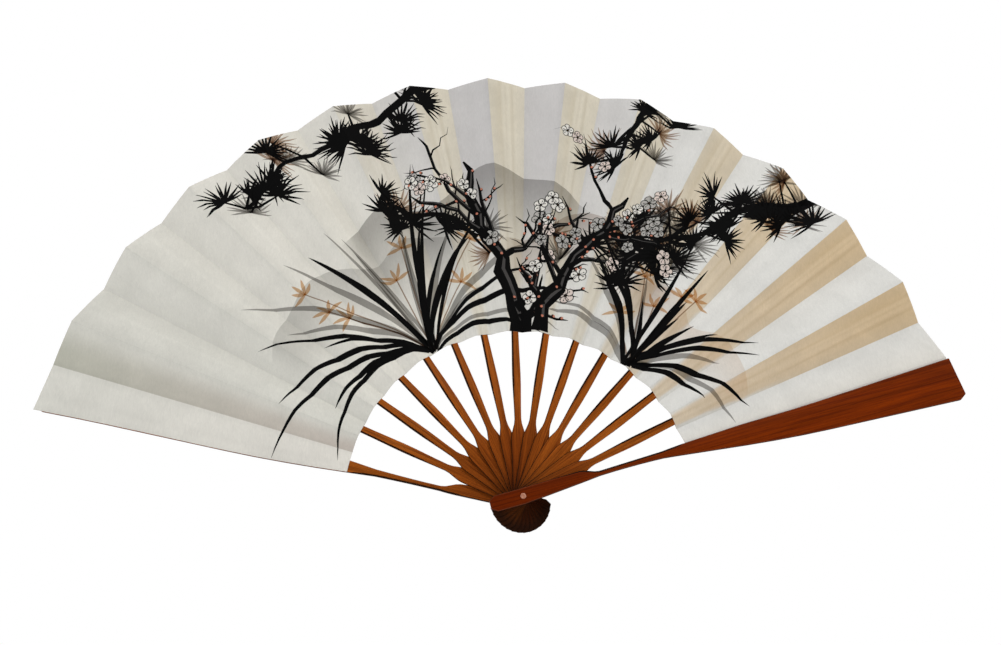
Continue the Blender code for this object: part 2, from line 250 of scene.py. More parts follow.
def pleat_matrix(k):
    """Like the stick's frame, but turned to lie in the plane of the stick's two creases."""
    apex, along = sticks[k]
    across = creases[2 * k][1] - creases[2 * k + 1][1]
    return frame_matrix(apex, along, across.normalized())


PLEAT_TILT = stick_matrix(7).to_3x3().col[2].angle(pleat_matrix(7).to_3x3().col[2])


# Small helpers

def mix(first, second, share):
    return first + (second - first) * share


def ease(start, end, place):
    """A smooth rise from 0 at the start to 1 at the end."""
    share = min(max((place - start) / (end - start), 0.0), 1.0)
    return share * share * (3.0 - 2.0 * share)


def streak(share, middle, width):
    """A soft peak with a height of 1."""
    return exp(-((share - middle) / width) ** 2)


def blend(first, second, share):
    return tuple(mix(a, b, share) for a, b in zip(first, second))


def even_shares(steps):
    return [step / steps for step in range(steps + 1)]


def ray(angle):
    return Vector((cos(angle), sin(angle)))


def mesh_of(name, shape):
    mesh = bpy.data.meshes.new(name)
    shape.to_mesh(mesh)
    shape.free()
    return mesh


def link_new(name, data):
    thing = bpy.data.objects.new(name, data)
    bpy.context.scene.collection.objects.link(thing)
    return thing


def make_piece(mesh, *materials):
    """Smooth a mesh, give it its materials and make it a piece."""
    mesh.shade_smooth()
    mesh.set_sharp_from_angle(angle=SHARP_EDGE)
    for material in materials:
        mesh.materials.append(material)
    return link_new(mesh.name, mesh)


# Shader building: a new node goes into the tree of the node or socket that it is given

def fill(node, inputs):
    """Give a node's inputs their links and plain values."""
    for name, value in inputs.items():
        if isinstance(value, bpy.types.NodeSocket):
            node.id_data.links.new(value, node.inputs[name])
        else:
            node.inputs[name].default_value = value


def add_node(near, kind, inputs):
    node = near.id_data.nodes.new(f"ShaderNode{kind}")
    fill(node, inputs)
    return node


def combine(kind, first, second):
    node = add_node(first, "Math", {0: first, 1: second})
    node.operation = kind
    return node.outputs[0]


def carry(*values):
    """A value carried from one range of numbers, low and high, to another."""
    names = ("Value", "From Min", "From Max", "To Min", "To Max")
    return add_node(values[0], "MapRange", dict(zip(names, values))).outputs["Result"]


def attribute(near, name, output="Vector"):
    node = add_node(near, "Attribute", {})
    node.attribute_name = name
    return node.outputs[output]


def position(near):
    return add_node(near, "TexCoord", {}).outputs["Object"]


def noise(vector, scale, detail, distortion=0.0):
    """Noise at one scale, or at a scale for each axis."""
    if isinstance(scale, tuple):
        vector = add_node(vector, "Mapping", {"Vector": vector, "Scale": scale}).outputs["Vector"]
        scale = 1.0
    inputs = {"Vector": vector, "Scale": scale, "Detail": detail, "Distortion": distortion}
    return add_node(vector, "TexNoise", inputs).outputs["Fac"]


def ramp(value, stops):
    node = add_node(value, "ValToRGB", {"Fac": value})
    elements = node.color_ramp.elements
    while len(elements) < len(stops):
        elements.new(1.0)
    for element, (place, colour) in zip(elements, stops):
        element.position = place
        element.color = (*colour, 1.0)
    return node.outputs["Color"]


def mixed(factor, first, second, kind="MIX"):
    node = add_node(first, "Mix", {})
    node.data_type = "RGBA"
    node.blend_type = kind
    if isinstance(second, tuple):
        second = (*second, 1.0)
    fill(node, {0: factor, 6: first, 7: second})
    return node.outputs[2]


def times(first, second):
    return mixed(1.0, first, second, "MULTIPLY")


def bump(height, strength, distance, below=None):
    inputs = {"Height": height, "Strength": strength, "Distance": distance}
    if below is not None:
        inputs["Normal"] = below
    return add_node(height, "Bump", inputs).outputs["Normal"]


# Materials

def new_material(name, roughness, specular):
    """A material and the Principled shader in it."""
    material = bpy.data.materials.new(name)
    material.use_nodes = True
    surface = material.node_tree.nodes["Principled BSDF"]
    fill(surface, {"Roughness": roughness, "Specular IOR Level": specular})
    return material, surface


def wood(name, light, dark, shade, roughness):
    """Varnished wood with streaks along the stick; painted shade on the side faces, along the left
    edge, at the head and on the tail.
    """
    material, surface = new_material(name, roughness, 0.025)
    grain = attribute(surface, "grain")
    marks = attribute(surface, "shade_and_wear", "Color")
    shade_and_wear = add_node(surface, "SeparateColor", {"Color": marks}).outputs
    streaks = noise(grain, (28.0, 1500.0, 1500.0), 5.0, 0.4)
    bands = noise(grain, (9.0, 330.0, 330.0), 3.0, 0.8)
    pores = noise(grain, (260.0, 5200.0, 5200.0), 2.0)
    colour = ramp(streaks, [(0.32, dark), (0.5, blend(dark, light, 0.6)), (0.68, light)])
    colour = times(colour, carry(bands, 0.35, 0.65, 0.78, 1.12))
    colour = times(colour, carry(pores, 0.3, 0.42, 0.7, 1.0))
    # Painted shade towards the head
    colour = mixed(shade_and_wear["Blue"], colour, times(colour, (0.52, 0.38, 0.32)))
    colour = mixed(shade_and_wear["Green"], colour, blend(light, (1.0, 0.8, 0.5), 0.12))
    # A painted shade line along the stick's left edge, with a ragged border
    ragged = carry(pores, 0.2, 0.8, -0.15, 0.15)
    ragged_line = combine("ADD", attribute(surface, "shade_line", "Fac"), ragged)
    colour = mixed(carry(ragged_line, 0.75, 1.1, 1.0, 0.0), colour, shade)
    # Painted shade on the side faces and on the tails
    colour = mixed(shade_and_wear["Red"], colour, shade)
    satin = carry(streaks, 0.3, 0.7, roughness + 0.08, roughness - 0.06)
    relief = bump(pores, 0.25, 0.05 * MM, bump(streaks, 0.3, 0.08 * MM))
    fill(surface, {"Base Color": colour, "Roughness": satin, "Normal": relief})
    return material


def paper():
    """Mounted paper: long fibres, a faint tooth and a slow cloudiness."""
    material, surface = new_material("mounted_paper", 0.86, 0.04)
    place = position(surface)
    fibres = noise(place, (900.0, 900.0, 260.0), 6.0, 1.2)
    clouds = noise(place, 42.0, 4.0, 0.5)
    tooth = noise(place, 2600.0, 2.0)
    colour = times(attribute(surface, "paint", "Color"), carry(fibres, 0.25, 0.75, 0.93, 1.05))
    colour = times(colour, carry(clouds, 0.3, 0.7, 0.95, 1.04))
    rough = carry(fibres, 0.3, 0.7, 0.8, 0.92)
    relief = bump(fibres, 0.3, 0.06 * MM, bump(clouds, 0.25, 0.5 * MM))
    relief = bump(tooth, 0.2, 0.04 * MM, relief)
    fill(surface, {"Base Color": colour, "Roughness": rough, "Normal": relief})
    return material


def horn():
    """Pale pinkish horn, clouded and turned to a soft polish."""
    material, surface = new_material("turned_horn", 0.32, 0.4)
    place = position(surface)
    rings = noise(place, (2500.0, 300.0, 2500.0), 2.0)
    stops = [(0.3, (0.30, 0.11, 0.06)), (0.55, (0.40, 0.17, 0.10)), (0.8, (0.52, 0.28, 0.18))]
    colour = ramp(noise(place, 900.0, 3.0, 0.6), stops)
    polish = carry(rings, 0.3, 0.7, 0.26, 0.42)
    relief = bump(rings, 0.2, 0.03 * MM)
    fill(surface, {"Base Color": colour, "Roughness": polish, "Normal": relief})
    return material


# Light and dark colours of the woods, and the colour of their painted shade
RIB_TONES = ((0.355, 0.093, 0.010), (0.16, 0.034, 0.004), (0.010, 0.004, 0.002))
GUARD_TONES = ((0.18, 0.025, 0.001), (0.092, 0.011, 0.001), (0.008, 0.004, 0.002))

rib_wood = wood("rib_wood_varnished", *RIB_TONES, 0.42)
guard_wood = wood("guard_wood_varnished", *GUARD_TONES, 0.40)
leaf_paper = paper()
rivet_horn = horn()


# Sticks

def node_shape(node, matrix):
    """A node's solid, welded and laid in a stick's own frame."""
    shape = bmesh.new()
    shape.from_mesh(frame["nodes"][node].data)
    shape.transform(matrix.inverted())
    bmesh.ops.remove_doubles(shape, verts=shape.verts, dist=WELD)
    bmesh.ops.dissolve_limit(shape, angle_limit=FLAT_EDGE, verts=shape.verts, edges=shape.edges)
    return shape


def round_edges(shape, rounding, end):
    """Round the long edges, but not those round the rivet's hole or inside the leaf."""
    chosen = []
    for edge in shape.edges:
        middle = (edge.verts[0].co + edge.verts[1].co) / 2.0
        near_hole = hypot(middle.x, middle.z) < HOLE_REACH
        if near_hole or middle.x > end or len(edge.link_faces) != 2:
            continue
        if edge.calc_face_angle(0.0) > SHARP_EDGE:
            chosen.append(edge)
    rules = {"offset_type": "OFFSET", "affect": "EDGES", "clamp_overlap": True}
    bmesh.ops.bevel(shape, geom=chosen, offset=rounding, segments=2, profile=0.5, **rules)


def left_side(shape, twist_end):
    """The place of a stick's left side along its length, in the stick's own twisted frame."""
    rows = {}
    own = {vertex: untwisted(vertex.co, twist_end) for vertex in shape.verts}
    places = sorted({round(point.x, 4) for point in own.values()})
    for edge in shape.edges:
        near, far = sorted((own[vertex] for vertex in edge.verts), key=lambda point: point.x)
        length = max(far.x - near.x, WELD)
        first = bisect.bisect_left(places, near.x - ROW_REACH)
        for place in places[first:bisect.bisect_right(places, far.x + ROW_REACH)]:
            share = min(max((place - near.x) / length, 0.0), 1.0)
            rows[place] = max(rows.get(place, -1.0), mix(near.z, far.z, share))
    return sorted(rows.items())


def untwisted(point, twist_end):
    return Matrix.Rotation(-twist_end * ease(NECK, INNER, point.x), 3, "X") @ point


def shade_line_distance(point, side, twist_end, limits):
    """Distance from the left side, as a share of the width of the painted shade line at that place."""
    own = untwisted(point, twist_end)
    edge = side[-1][1]
    for (near, low), (far, high) in zip(side, side[1:]):
        if near <= own.x <= far:
            edge = mix(low, high, (own.x - near) / (far - near))
            break
    start, full, last, gone = (share * INNER for share in limits)
    width = SHADE_LINE_WIDTH * mix(HEAD_SHADE_LINE, 1.0, ease(start, full, own.x)) * (1.0 - ease(last, gone, own.x))
    return (edge - own.z) / (width + LEAST_SHADE_LINE)


def mark_stick(name, shape, side, matrix, twist_end, seed):
    """Add the grain, the worn corners and the painted shade to a stick's shape, stand it in its place
    and make it a piece.
    """
    guard = twist_end == 0.0
    limits = GUARD_SHADE_LINE if guard else RIB_SHADE_LINE
    lean = matrix.col[0].x
    front_guard = guard and lean > 0.0
    shape.normal_update()
    bmesh.ops.triangulate(shape, faces=[face for face in shape.faces if len(face.verts) > 4])
    mesh = mesh_of(name, shape)
    grain = mesh.attributes.new("grain", "FLOAT_VECTOR", "POINT")
    for vertex in mesh.vertices:
        grain.data[vertex.index].vector = vertex.co + GRAIN_SHIFT * seed
    distances = [shade_line_distance(vertex.co, side, twist_end, limits) for vertex in mesh.vertices]
    # Both are fetched when both exist, because a new attribute can move the ones before it
    mesh.attributes.new("shade_line", "FLOAT", "CORNER")
    mesh.attributes.new("shade_and_wear", "FLOAT_COLOR", "CORNER")
    shade_line = mesh.attributes["shade_line"]
    shade_and_wear = mesh.attributes["shade_and_wear"]
    for face in mesh.polygons:
        twist = Matrix.Rotation(twist_end * ease(NECK, INNER, face.center.x), 3, "X")
        sideways = abs(face.normal.dot(twist @ Vector((0.0, 0.0, 1.0))))
        # Side faces are painted in shade; the rounded corners beside them are worn lighter
        shaded_side = ease(*SIDE_TURN, sideways)
        wear_and_shade = CORNER_WEAR * ease(*CORNER_TURN, sideways) * (1.0 - shaded_side)
        for corner in face.loop_indices:
            point = mesh.loops[corner].vertex_index
            shade_line.data[corner].value = distances[point] + 2.0 * shaded_side
            place = mesh.vertices[point].co.x / INNER
            # Painted shade towards the head, less on sticks that lean, and painted shade on the tail
            shaded = 1.0 - ease(*HEAD_SHADE, place)
            lit = LEANING_LIGHT * ease(*LEANING, abs(lean))
            shaded *= 1.0 - lit - RIGHT_LIGHT * streak(lean, RIGHT_LEAN, RIGHT_SPREAD)
            tail = 0.0 if front_guard else TAIL_SHADE * (1.0 - ease(*TAIL, place))
            shade_and_wear.data[corner].color = (max(SIDE_SHADE * shaded_side, tail), wear_and_shade, shaded, 1.0)
    mesh.transform(matrix)
    if not guard:
        return make_piece(mesh, rib_wood)
    # The faces that look toward the ribs are of plainer wood, like the ribs
    for face in mesh.polygons:
        if face.normal.y * face.center.y < -INWARD * abs(face.center.y):
            face.material_index = 1
    return make_piece(mesh, guard_wood, rib_wood)


def quarter(point):
    """On which sides of a splint's middle a point lies, in its thickness and its width."""
    return point.y > 0.0, point.z > 0.0


def make_rib(k):
    """A rib and the splint that goes on from it inside the leaf, in one piece of wood."""
    node, splint = f"rib_{k:02d}", f"splint_{k:02d}"
    matrix = stick_matrix(k)
    shape = node_shape(node, matrix)
    tip_place = max(v.co.x for v in shape.verts)
    tip = [f for f in shape.faces if all(v.co.x > tip_place - WELD for v in f.verts)]
    untwist = Matrix.Rotation(-PLEAT_TILT, 3, "X")
    tongue = node_shape(splint, matrix)
    for far in (False, True):
        grown = bmesh.ops.extrude_face_region(shape, geom=tip)
        tip = [item for item in grown["geom"] if isinstance(item, bmesh.types.BMFace)]
        corners = [item for item in grown["geom"] if isinstance(item, bmesh.types.BMVert)]
        ends = [v.co for v in tongue.verts if (v.co.x > SPLINT_MIDDLE) == far]
        goals = {quarter(untwist @ goal): goal for goal in ends}
        for corner in corners:
            corner.co = goals[quarter(untwist @ corner.co)]
    tongue.free()
    inner_faces = [f for f in shape.faces if all(abs(v.co.x - tip_place) < WELD for v in f.verts)]
    bmesh.ops.delete(shape, geom=inner_faces, context="FACES_ONLY")
    bmesh.ops.recalc_face_normals(shape, faces=shape.faces)
    side = left_side(shape, PLEAT_TILT)
    round_edges(shape, STICK_ROUNDING, tip_place - TIP_MARGIN)
    piece = mark_stick(f"stick_{k:02d}", shape, side, matrix, PLEAT_TILT, k)
    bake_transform(piece)
    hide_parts(node, splint)


def make_guard(k, node):
    matrix = stick_matrix(k)
    matrix.translation = Vector()
    shape = node_shape(node, matrix)
    side = left_side(shape, 0.0)
    round_edges(shape, GUARD_ROUNDING, 2.0 * OUTER)
    piece = mark_stick(f"{node}_polished", shape, side, matrix, 0.0, k + FIRST_GUARD_SEED)
    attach(piece, node)
    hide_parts(node)


# The leaf's panels, from left to right

def panel_list():
    """Every panel of the leaf with its kind, body, node and place in the flat sheet."""
    panels = []
    for index in range(len(creases) - 1):
        k = index // 2
        if index == 0:
            kind, body, node = "end", "back_guard", "back_end_panel"
        elif index == len(creases) - 2:
            kind, body, node = "end", "front_guard", "front_end_panel"
        elif index % 2 == 0:
            kind, body, node = "rib", f"pleat_{k:02d}", f"rib_panel_{k:02d}"
        else:
            kind, body, node = "free", f"fold_{k:02d}", f"free_panel_{k:02d}"
        start, end = border_point(index, OUTER), border_point(index + 1, OUTER)
        width = 2.0 * asin((end - start).length / (2.0 * OUTER))
        panels.append({"index": index, "kind": kind, "body": body, "node": node, "width": width})
    total = sum(panel["width"] for panel in panels)
    angle = -total / 2.0
    for panel in panels:
        panel["start"] = angle
        angle += panel["width"]
    return panels


def panel_lines(index, radius):
    start, end = border_point(index, radius), border_point(index + 1, radius)
    middle = (start + end) / 2.0
    across = (end - start).normalized()
    outward = (middle - (creases[index][0] + creases[index + 1][0]) / 2.0).normalized()
    normal = across.cross(outward).normalized()
    if normal.dot(VIEWER) < 0.0:
        normal = -normal
    return start, end, outward, normal


def crease_normal(border, radius):
    """Way in which the paper is thick at a crease: the mitre between its two panels."""
    sides = [index for index in (border - 1, border) if 0 <= index < len(panels)]
    normals = [panel_lines(index, radius)[3] for index in sides]
    total = sum(normals, Vector()).normalized()
    return total / total.dot(normals[0])


def panel_surface(panel, share, radius):
    """A point of the sheet's middle and the way to its front."""
    index = panel["index"]
    start, end, outward, normal = panel_lines(index, radius)
    chord = (end - start).length
    sagitta = radius - sqrt(radius ** 2 - chord ** 2 / 4.0)
    point = start.lerp(end, share) + outward * sagitta * 4.0 * share * (1.0 - share)
    if share < 1e-4:
        normal = crease_normal(index, radius)
    elif share > 1.0 - 1e-4:
        normal = crease_normal(index + 1, radius)
    return point, normal


def splint_half_width(radius):
    return mix(*SPLINT_WIDTHS, (radius - SPLINT_START) / (SPLINT_END - SPLINT_START)) / 2.0


def splint_sizes():
    """Width at the root and at the tip, and the thickness, of a splint."""
    turn = pleat_matrix(7).inverted()
    points = [turn @ v.co for v in frame["nodes"]["splint_07"].data.vertices]
    root = 2.0 * max(p.z for p in points if p.x < SPLINT_MIDDLE)
    tip = 2.0 * max(p.z for p in points if p.x > SPLINT_MIDDLE)
    return (root, tip), 2.0 * max(p.y for p in points)


SPLINT_WIDTHS, SPLINT_THICKNESS = splint_sizes()
POCKET = SPLINT_THICKNESS / 2.0 + POCKET_GAP
panels = panel_list()


def ridge(panel, share, radius):
    """How far the paper stands off the middle of the leaf over the splint."""
    if panel["kind"] != "rib":
        return 0.0
    aside = abs(share - 0.5) * panel["width"] * radius
    edge = splint_half_width(radius) + POCKET_GAP
    over = 1.0 - ease(edge, edge + RIDGE_FLANK, aside)
    closed = 1.0 - ease(SPLINT_END + 0.2 * MM, SPLINT_END + RIDGE_CLOSE, radius)
    return POCKET * over * closed


def sway(panel, share, radius):
    """The small bow and wave of a panel, none at its creases."""
    index = panel["index"]
    if panel["kind"] == "end":
        return 0.0
    free = sin(pi * share)
    if panel["kind"] == "rib":
        free = sin(2.0 * pi * share) ** 2 * 0.6
    bow = PANEL_BOW * sin(1.7 * index + 9.0 * radius)
    wave = PAPER_WAVE * sin(radius / WAVE_LENGTH + 2.3 * index + 2.0 * share)
    return free * (bow + wave)


def place_sheet(panel, flat, offset):
    """Fold flat points into place, each offset from the sheet's middle toward the front."""
    placed = []
    for point in flat:
        share, radius = from_flat(panel, point)
        share = min(max(share, 0.0), 1.0)
        middle, normal = panel_surface(panel, share, radius)
        placed.append(middle + normal * (offset(share, radius) + sway(panel, share, radius)))
    return placed


def add_sheet(panel, shape, flat, triangles, paints, outer, inner):
    """Fold flat triangles into a thin closed sheet between an outer and an inner offset."""
    front = [shape.verts.new(point) for point in place_sheet(panel, flat, outer)]
    back = [shape.verts.new(point) for point in place_sheet(panel, flat, inner)]
    tints = {}
    for near, far, point in zip(front, back, flat):
        tints[near] = tints[far] = back_colour(panel, *from_flat(panel, point))
    colours = shape.loops.layers.float_color["paint"]

    def add_face(corners, paint):
        for loop, colour in zip(shape.faces.new(corners).loops, paint):
            loop[colours] = (*colour, 1.0)

    border = {}
    for triangle, paint in zip(triangles, paints):
        add_face([front[i] for i in triangle], paint)
        under = [back[i] for i in reversed(triangle)]
        add_face(under, [tints[corner] for corner in under])
        for place, corner in enumerate(triangle):
            after = triangle[(place + 1) % 3]
            if not border.pop((after, corner), False):
                border[(corner, after)] = True
    for corner, after in border:
        rim = (front[after], front[corner], back[corner], back[after])
        add_face(rim, [tints[corner] for corner in rim])


def panel_outline(panel):
    """The panel's border in the flat sheet, anticlockwise, as (share, radius)."""
    index = panel["index"]
    reach_out = [OUTER] * (ARC_POINTS + 1)
    shares = even_shares(ARC_POINTS)
    if panel["kind"] == "end":
        tip = OUTER * cos(HALF_END)
        sides = [border_aside(0 if index == 0 else LAST, tip), -tip * tan(HALF_END)]
        if index > 0:
            sides.reverse()
        reach_out = [hypot(tip, mix(*sides, share)) for share in shares]
    rows = [mix(INNER, OUTER, row / GRID_ROWS) for row in range(1, GRID_ROWS)]
    bottom = [(share, INNER) for share in shares]
    right = [(1.0, radius) for radius in rows]
    top = [(share, radius) for share, radius in zip(shares, reach_out)]
    left = [(0.0, radius) for radius in reversed(rows)]
    if index == len(panels) - 1:
        top[-1] = (1.0 - CORNER_WIDTH / (panel["width"] * OUTER), reach_out[-1])
        right[-1] = (1.0, OUTER - CORNER_LENGTH)
    return bottom + right + top[::-1] + left


def grid_shares(panel, radius):
    """Places across a panel that carry points: close together beside the splint."""
    if panel["kind"] != "rib":
        return [column / GRID_COLUMNS for column in range(1, GRID_COLUMNS)]
    width = panel["width"] * radius
    edge = splint_half_width(radius) + POCKET_GAP
    flank = min(RIDGE_FLANK, 0.9 * (width / 2.0 - edge))
    aside = [0.0, edge, edge + flank * 0.33, edge + flank * 0.66, edge + flank]
    shares = [0.5 + place / width for place in aside]
    shares += [0.5 - place / width for place in aside[1:]]
    return sorted(share for share in shares if 0.02 < share < 0.98)


def flat_point(panel, share, radius):
    """Place in the flat sheet, in millimetres: x to the right, y up from the rivet."""
    angle = panel["start"] + share * panel["width"]
    return Vector((radius * sin(angle), radius * cos(angle))) / MM


def from_flat(panel, point):
    radius = point.length * MM
    angle = atan2(point.x, point.y)
    return (angle - panel["start"]) / panel["width"], radius


# The painting, in the flat sheet: strokes and washes in the order in which they are laid

INK = (0.0025, 0.0025, 0.0025)
DRY_INK = (0.055, 0.052, 0.05)
PALE_INK = (0.16, 0.155, 0.15)
BROWN_INK = (0.20, 0.12, 0.07)
OCHRE = (0.42, 0.25, 0.12)
BLUSH = (0.46, 0.17, 0.11)
PETAL = (0.66, 0.64, 0.59)

# Inks and strengths to choose from for a tuft of needles and a blade of grass
TUFT_INKS = ((INK, 1.0), (INK, 1.0), (INK, 1.0), (PALE_INK, 0.85), (BROWN_INK, 0.8))
BLADE_INKS = ((INK, 1.0), (INK, 1.0), (PALE_INK, 0.8), (INK, 1.0))

# How many needles a tuft has, and steps a hill's ridge
NEEDLES = 15
HILL_STEPS = 40

chance = random.Random(11)
draw = chance.uniform
painting = []


def polar(angle, radius):
    """A place in the flat sheet from degrees right of the middle and millimetres out."""
    turn = radians(angle)
    return Vector((radius * sin(turn), radius * cos(turn)))


def signed_area(outline):
    return sum(a.x * b.y - b.x * a.y for a, b in zip(outline, outline[1:] + outline[:1]))


def flat_box(points):
    low = Vector((min(p.x for p in points), min(p.y for p in points)))
    return low, Vector((max(p.x for p in points), max(p.y for p in points)))


def lay(outline, colour, strength):
    """Keep a closed outline of the painting; strength is a number or a function of the place.

    A wash, weaker than 1, only ever darkens what lies under it, as ink on paper does.
    """
    if signed_area(outline) < 0.0:
        outline = outline[::-1]
    box = flat_box(outline)
    painting.append({"outline": outline, "colour": colour, "strength": strength, "box": box})


def spine_of(root, heading, length, bend, steps, wander=0.0):
    """Points along a stroke that turns steadily by bend, with an optional wander."""
    points = [root.copy()]
    for step in range(steps):
        turn = heading + bend * (step + 0.5) / steps + draw(-wander, wander)
        points.append(points[-1] + ray(turn) * length / steps)
    return points


def stroke(spine, widths, colour, strength):
    """Lay a stroke with a width at each point of its spine."""
    left = []
    right = []
    for place, point in enumerate(spine):
        before = spine[max(place - 1, 0)]
        after = spine[min(place + 1, len(spine) - 1)]
        across = (after - before).orthogonal().normalized() * widths[place] / 2.0
        left.append(point + across)
        right.append(point - across)
    lay(left + right[::-1], colour, strength)


def blade(root, heading, length, width, bend, colour, strength):
    """A leaf of grass: thin at its root, full past the middle and drawn out to a point."""
    steps = max(8, int(length / 5.0))
    spine = spine_of(root, heading, length, bend, steps)
    widths = []
    for share in even_shares(steps):
        body = sin(pi * min(share * 0.9 + 0.1, 1.0)) ** 0.7
        press = 1.0 - 0.14 * sin(2.0 * pi * share) ** 2
        widths.append(max(width * body * press, 0.12))
    stroke(spine, widths, colour, strength)


def disc(middle, radius, colour, strength, squeeze=1.0, turn=0.0, points=10):
    """Lay a round or, with a squeeze, an oval dab."""
    outline = []
    cosine, sine = cos(turn), sin(turn)
    for place in range(points):
        angle = 2.0 * pi * place / points
        x, y = radius * cos(angle), radius * squeeze * sin(angle)
        outline.append(middle + Vector((x * cosine - y * sine, x * sine + y * cosine)))
    lay(outline, colour, strength)


def hill(start, end, height, depth, colour, strength, phase):
    """A far hill in pale wash, sharp along its ridge and lost in mist below."""

    def top(angle):
        share = (angle - start) / (end - start)
        broad = 0.28 * sin(7.0 * share + phase)
        narrow = 0.14 * sin(17.0 * share + 2.0 * phase)
        return height + depth * 0.75 * sin(pi * share) * (0.5 + broad + narrow)

    along = [mix(start, end, share) for share in even_shares(HILL_STEPS)]
    ridge_line = [polar(angle, top(angle)) for angle in along]
    back = [mix(end, start, share) for share in even_shares(HILL_STEPS)]
    floor_line = [polar(angle, height - depth) for angle in back]

    def fade(point):
        angle = degrees(atan2(point.x, point.y))
        below = top(angle) - point.length
        ends = ease(start, start + 6.0, angle) * (1.0 - ease(end - 6.0, end, angle))
        return strength * (1.0 - ease(0.0, depth, below)) * ends

    lay(ridge_line + floor_line, colour, fade)


def blossom(middle, size, turn):
    """Five round petals outlined in thin ink, with a pale wash and dark stamens."""
    tint = chance.choice((PETAL, blend(PETAL, BLUSH, 0.25), blend(PETAL, PALE_INK, 0.6)))
    for petal in range(5):
        place = middle + ray(turn + 2.0 * pi * petal / 5.0) * size * 0.56
        disc(place, size * 0.5, INK, 0.85)
        disc(place, size * 0.38, tint, 1.0)
    disc(middle, size * 0.20, BROWN_INK, 0.9, points=8)
    for stamen in range(7):
        tip = middle + ray(turn + 2.0 * pi * stamen / 7.0 + 0.3) * size * 0.62
        stroke([middle, tip], [0.3, 0.3], INK, 0.8)
        disc(tip, 0.5, INK, 0.95, points=6)


def bud(middle, size, heading):
    disc(middle, size, INK, 1.0, 0.8, heading)
    disc(middle + ray(heading) * size * 0.5, size * 0.7, BLUSH, 1.0)


def scatter(reach):
    return Vector((draw(-reach, reach), draw(-reach, reach)))


def twig(root, heading, length, width, depth, flowers):
    """A plum branch that zigzags, forks and carries blossoms and buds."""
    steps = max(5, int(length / 9.0))
    spine = spine_of(root, heading, length, draw(-0.35, 0.35), steps, 0.42)
    widths = [width * (1.0 - 0.68 * share) * draw(0.8, 1.18) for share in even_shares(steps)]
    widths[-1] *= 0.3
    stroke(spine, widths, INK, 1.0)
    if width > 3.2:
        light = [point + Vector((0.9, 0.5)) for point in spine[1:-1]]
        stroke(light, [w * 0.2 for w in widths[1:-1]], DRY_INK, 1.0)
    for place in range(1, steps):
        if depth > 0 and chance.random() < 0.62:
            side = chance.choice((-1.0, 1.0))
            forward = spine[place + 1] - spine[place - 1]
            turn = atan2(forward.y, forward.x) + side * draw(0.5, 1.1)
            part = length * draw(0.3, 0.55)
            twig(spine[place], turn, part, widths[place] * 0.55, depth - 1, flowers)
        if width < 5.0 and chance.random() < flowers:
            size = draw(4.2, 6.0)
            blossom(spine[place] + scatter(3.0), size, draw(0.0, 6.3))
        elif chance.random() < 0.3:
            bud(spine[place] + scatter(2.5), 1.3, heading)


def needles(middle, heading, size, colour, strength):
    """A tuft of pine needles spread over a wide fan."""
    for needle in range(NEEDLES):
        angle = heading + mix(-1.7, 1.7, (needle + draw(-0.3, 0.3)) / (NEEDLES - 1))
        length = size * draw(0.78, 1.12)
        spine = spine_of(middle, angle, length, draw(-0.15, 0.15), 3)
        stroke(spine, [0.8, 1.8, 1.3, 0.2], colour, strength)


def bough(root, heading, length, bend, tufts, thick=8.0):
    """A pine bough crowded with tufts of needles."""
    steps = 12
    spine = spine_of(root, heading, length, bend, steps, 0.3)
    widths = [mix(thick, 2.2, share) * draw(0.85, 1.15) for share in even_shares(steps)]
    stroke(spine, widths, INK, 1.0)
    for tuft in range(tufts):
        place = spine[chance.randrange(1, steps + 1)]
        aside = Vector((draw(-24.0, 24.0), draw(-18.0, 20.0)))
        stroke([place, place + aside * 0.5, place + aside], [2.2, 1.8, 1.2], INK, 1.0)
        colour, strength = chance.choice(TUFT_INKS)
        needles(place + aside, draw(0.3, 2.8), draw(14.0, 21.0), colour, strength)


def grass(root, count, shortest, longest, spread):
    """A tuft of long grass leaves, black and grey, with a few flowers."""
    upright = pi / 2.0 + root.angle_signed(Vector((0.0, 1.0)))
    for leaf in range(count):
        share = leaf / (count - 1)
        lean = mix(-spread, spread, share) + draw(-0.12, 0.12)
        heading = upright - lean
        length = draw(shortest, longest)
        colour, strength = chance.choice(BLADE_INKS)
        base = root + Vector((draw(-4.0, 4.0), draw(-1.0, 3.0)))
        width = draw(2.8, 5.0)
        blade(base, heading, length, width, -lean * draw(0.9, 1.7), colour, strength)
    for flower in range(count // 4):
        lean = draw(-spread, spread) * 0.7
        heading = upright - lean
        stem = spine_of(root, heading, draw(shortest, longest) * 0.7, -lean * 0.5, 8)
        stroke(stem, [0.9] * 9, BROWN_INK, 0.8)
        for petal in range(5):
            turn = heading + mix(-1.5, 1.5, petal / 4.0)
            blade(stem[-1], turn, draw(9.0, 13.0), 2.6, draw(-0.6, 0.6), OCHRE, 0.85)


def paint_all():
    """The layout: angles in degrees right of the middle, lengths and widths in millimetres."""
    hill(-66.0, -12.0, 176.0, 46.0, PALE_INK, 0.36, 0.4)
    hill(-38.0, 18.0, 200.0, 66.0, PALE_INK, 0.62, 2.2)
    hill(-4.0, 44.0, 172.0, 54.0, BROWN_INK, 0.42, 4.0)
    hill(26.0, 74.0, 158.0, 40.0, OCHRE, 0.25, 1.1)
    grass(polar(-31.0, 108.0), 30, 70.0, 140.0, 1.1)
    bough(polar(50.0, 302.0), radians(190.0), 160.0, 0.16, 46)
    bough(polar(22.0, 304.0), radians(226.0), 62.0, 0.3, 12, 6.0)
    bough(polar(-11.0, 303.0), radians(203.0), 176.0, 0.42, 26, 7.0)
    bough(polar(-8.0, 178.0), radians(150.0), 76.0, 0.5, 10, 4.0)
    bough(polar(13.0, 178.0), radians(10.0), 84.0, -0.5, 11, 4.0)
    twig(polar(2.0, 106.0), radians(104.0), 140.0, 14.0, 2, 0.17)
    twig(polar(9.0, 108.0), radians(66.0), 126.0, 12.0, 2, 0.17)
    grass(polar(44.0, 108.0), 20, 50.0, 98.0, 0.95)


paint_all()


# Paper colours and the folded panels

